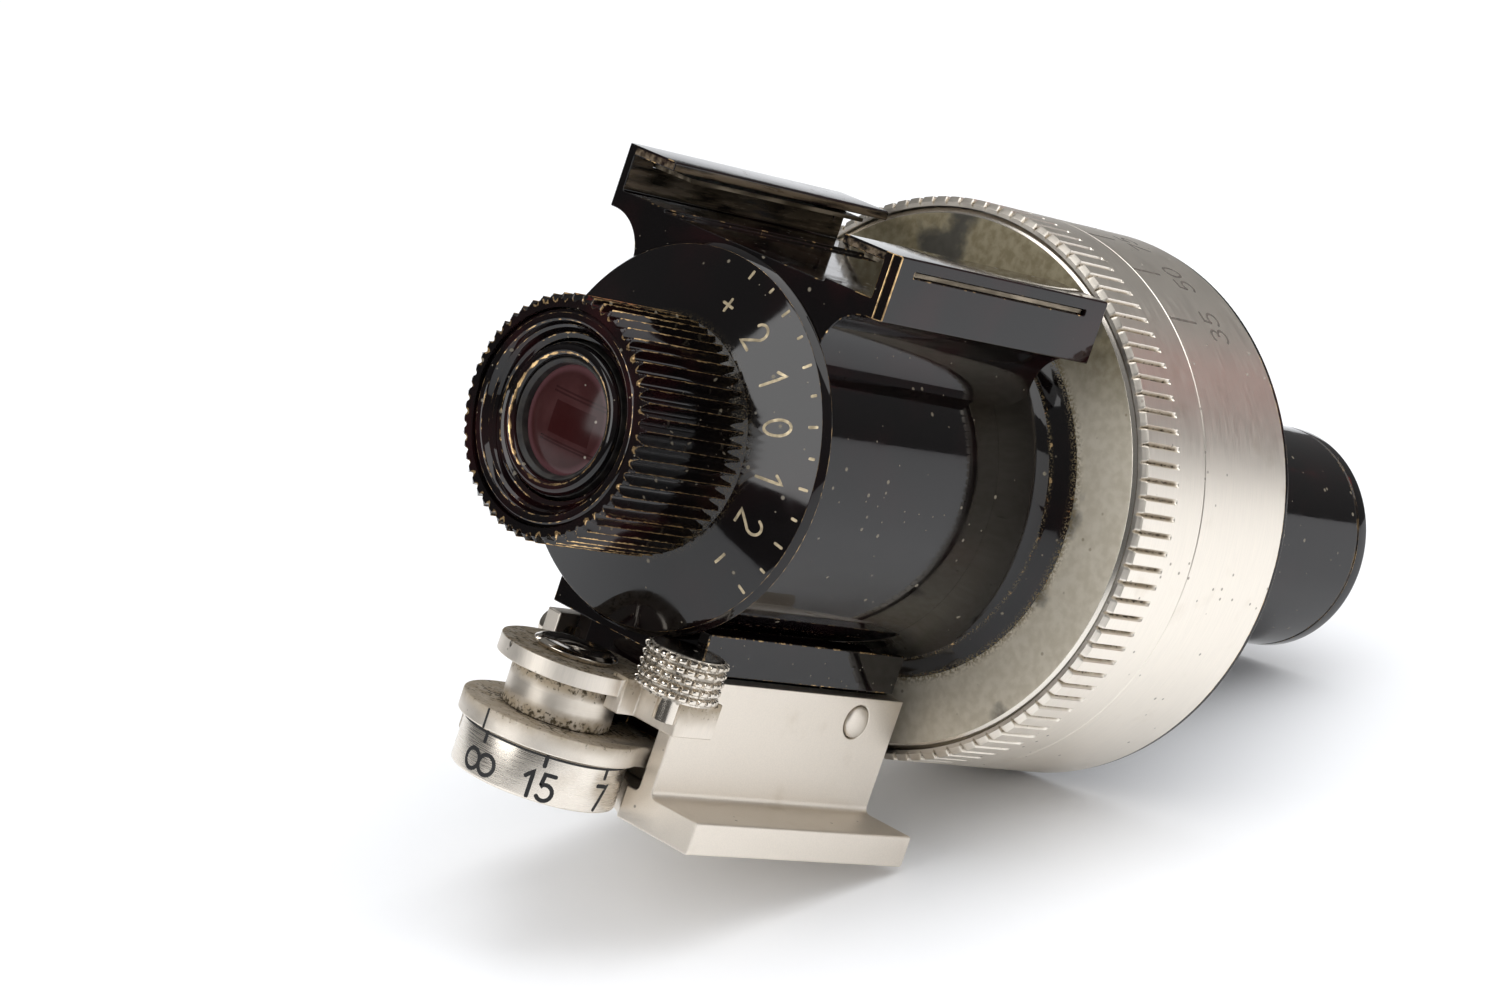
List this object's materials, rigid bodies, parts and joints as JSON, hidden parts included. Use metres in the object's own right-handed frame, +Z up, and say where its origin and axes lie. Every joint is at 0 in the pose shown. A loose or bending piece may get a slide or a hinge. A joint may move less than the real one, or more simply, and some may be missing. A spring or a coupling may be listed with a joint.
{
  "type": "universal viewfinder",
  "caption": "Small zoom-mask viewfinder: knurled eyepiece, focal length ring, accessory shoe on top, slide-in foot with a parallax lever and distance dial.",
  "frame": {"origin": "centre of the foot's bottom face, where it sits in a camera's accessory shoe", "axes": "+Z up out of the camera, +Y along the optical axis towards the scene, +X to the right as seen from the eyepiece"},
  "size_m": [0.0324, 0.0677, 0.0366],
  "materials": {
    "black_lacquer": "gloss black lacquer over brass, edges worn to brass",
    "nickel": "satin nickel plate, brushed, warm",
    "polished_nickel": "polished nickel plate",
    "brass": "tarnished spring brass",
    "spring_steel": "bright steel",
    "blackened_brass": "matt chemical black",
    "optical_glass": "polished optical glass"
  },
  "bodies": {
    "foot": {"foot": "nickel", "index_plate": "nickel", "index_screw_1": "spring_steel", "index_screw_2": "spring_steel", "hinge_pin": "nickel", "stop_screw": "nickel", "return_spring": "spring_steel", "return_spring_screw": "spring_steel"},
    "lever": {"distance_dial": "nickel", "spindle": "nickel", "lever_arm": "nickel", "lever_screw": "nickel", "lever_knob": "polished_nickel"},
    "lift": {"lift_pin": "spring_steel"},
    "finder": {"base_block": "black_lacquer", "base_screw_1": "blackened_brass", "base_screw_2": "blackened_brass", "barrel": "black_lacquer", "rear_cover": "black_lacquer", "shoe_bracket": "black_lacquer", "shoe_spring_left": "brass", "shoe_spring_right": "brass", "front_collar": "black_lacquer", "carrier_plate": "polished_nickel", "mask_housing": "blackened_brass", "mask_guide_plate": "blackened_brass", "front_cap": "black_lacquer", "front_tube": "black_lacquer", "objective_lens": "optical_glass", "objective_retainer": "blackened_brass", "relay_lens": "optical_glass", "relay_retainer": "blackened_brass", "field_lens": "optical_glass", "field_lens_retainer": "blackened_brass", "prism_holder": "blackened_brass", "erecting_prism_front": "optical_glass", "erecting_prism_rear": "optical_glass"},
    "focal_ring": {"focal_length_ring": "nickel", "cam_disc": "blackened_brass", "drive_screw": "spring_steel"},
    "mask_upper": {"mask_blade_upper": "blackened_brass"},
    "mask_lower": {"mask_blade_lower": "blackened_brass"},
    "eyepiece": {"eyepiece_shell": "black_lacquer", "eyepiece_bezel": "black_lacquer"},
    "lens_cell": {"eye_cell": "blackened_brass", "eye_lens": "optical_glass", "eye_lens_retainer": "black_lacquer"}
  },
  "joints": [
    {"name": "lever_turn", "type": "hinge", "parent": "foot", "child": "lever", "pos_m": [0, -0.01236, 0.005], "axis": [0, 0, 1], "range_deg": [-140.2, 0]},
    {"name": "lift_slide", "type": "slide", "parent": "foot", "child": "lift", "axis": [0, 0, 1], "range_m": [0, 0.00081]},
    {"name": "finder_tilt", "type": "hinge", "parent": "foot", "child": "finder", "pos_m": [0, 0.0057, 0.00715], "axis": [1, 0, 0], "range_deg": [-3.2, 0]},
    {"name": "ring_turn", "type": "hinge", "parent": "finder", "child": "focal_ring", "pos_m": [0, 0.017, 0.02035], "axis": [0, 1, 0], "range_deg": [0, 150]},
    {"name": "upper_mask_slide", "type": "slide", "parent": "finder", "child": "mask_upper", "axis": [-0.8321, 0, -0.5547], "range_m": [0, 0.00221]},
    {"name": "lower_mask_slide", "type": "slide", "parent": "finder", "child": "mask_lower", "axis": [0.8321, 0, 0.5547], "range_m": [0, 0.00221]},
    {"name": "eyepiece_turn", "type": "hinge", "parent": "finder", "child": "eyepiece", "pos_m": [0, -0.016, 0.02035], "axis": [0, 1, 0], "range_deg": [-60.3, 60.3]},
    {"name": "lens_cell_slide", "type": "slide", "parent": "finder", "child": "lens_cell", "axis": [0, 1, 0], "range_m": [-0.00035, 0.00035]}
  ],
  "couplings": [
    {"joint": "lever_turn", "follows": "finder_tilt", "ratio": 43.75},
    {"joint": "lift_slide", "follows": "finder_tilt", "m_per_rad": -0.014324},
    {"joint": "upper_mask_slide", "follows": "ring_turn", "m_per_rad": 0.00084034},
    {"joint": "lower_mask_slide", "follows": "ring_turn", "m_per_rad": 0.00084034},
    {"joint": "eyepiece_turn", "follows": "lens_cell_slide", "rad_per_m": 2992}
  ]
}
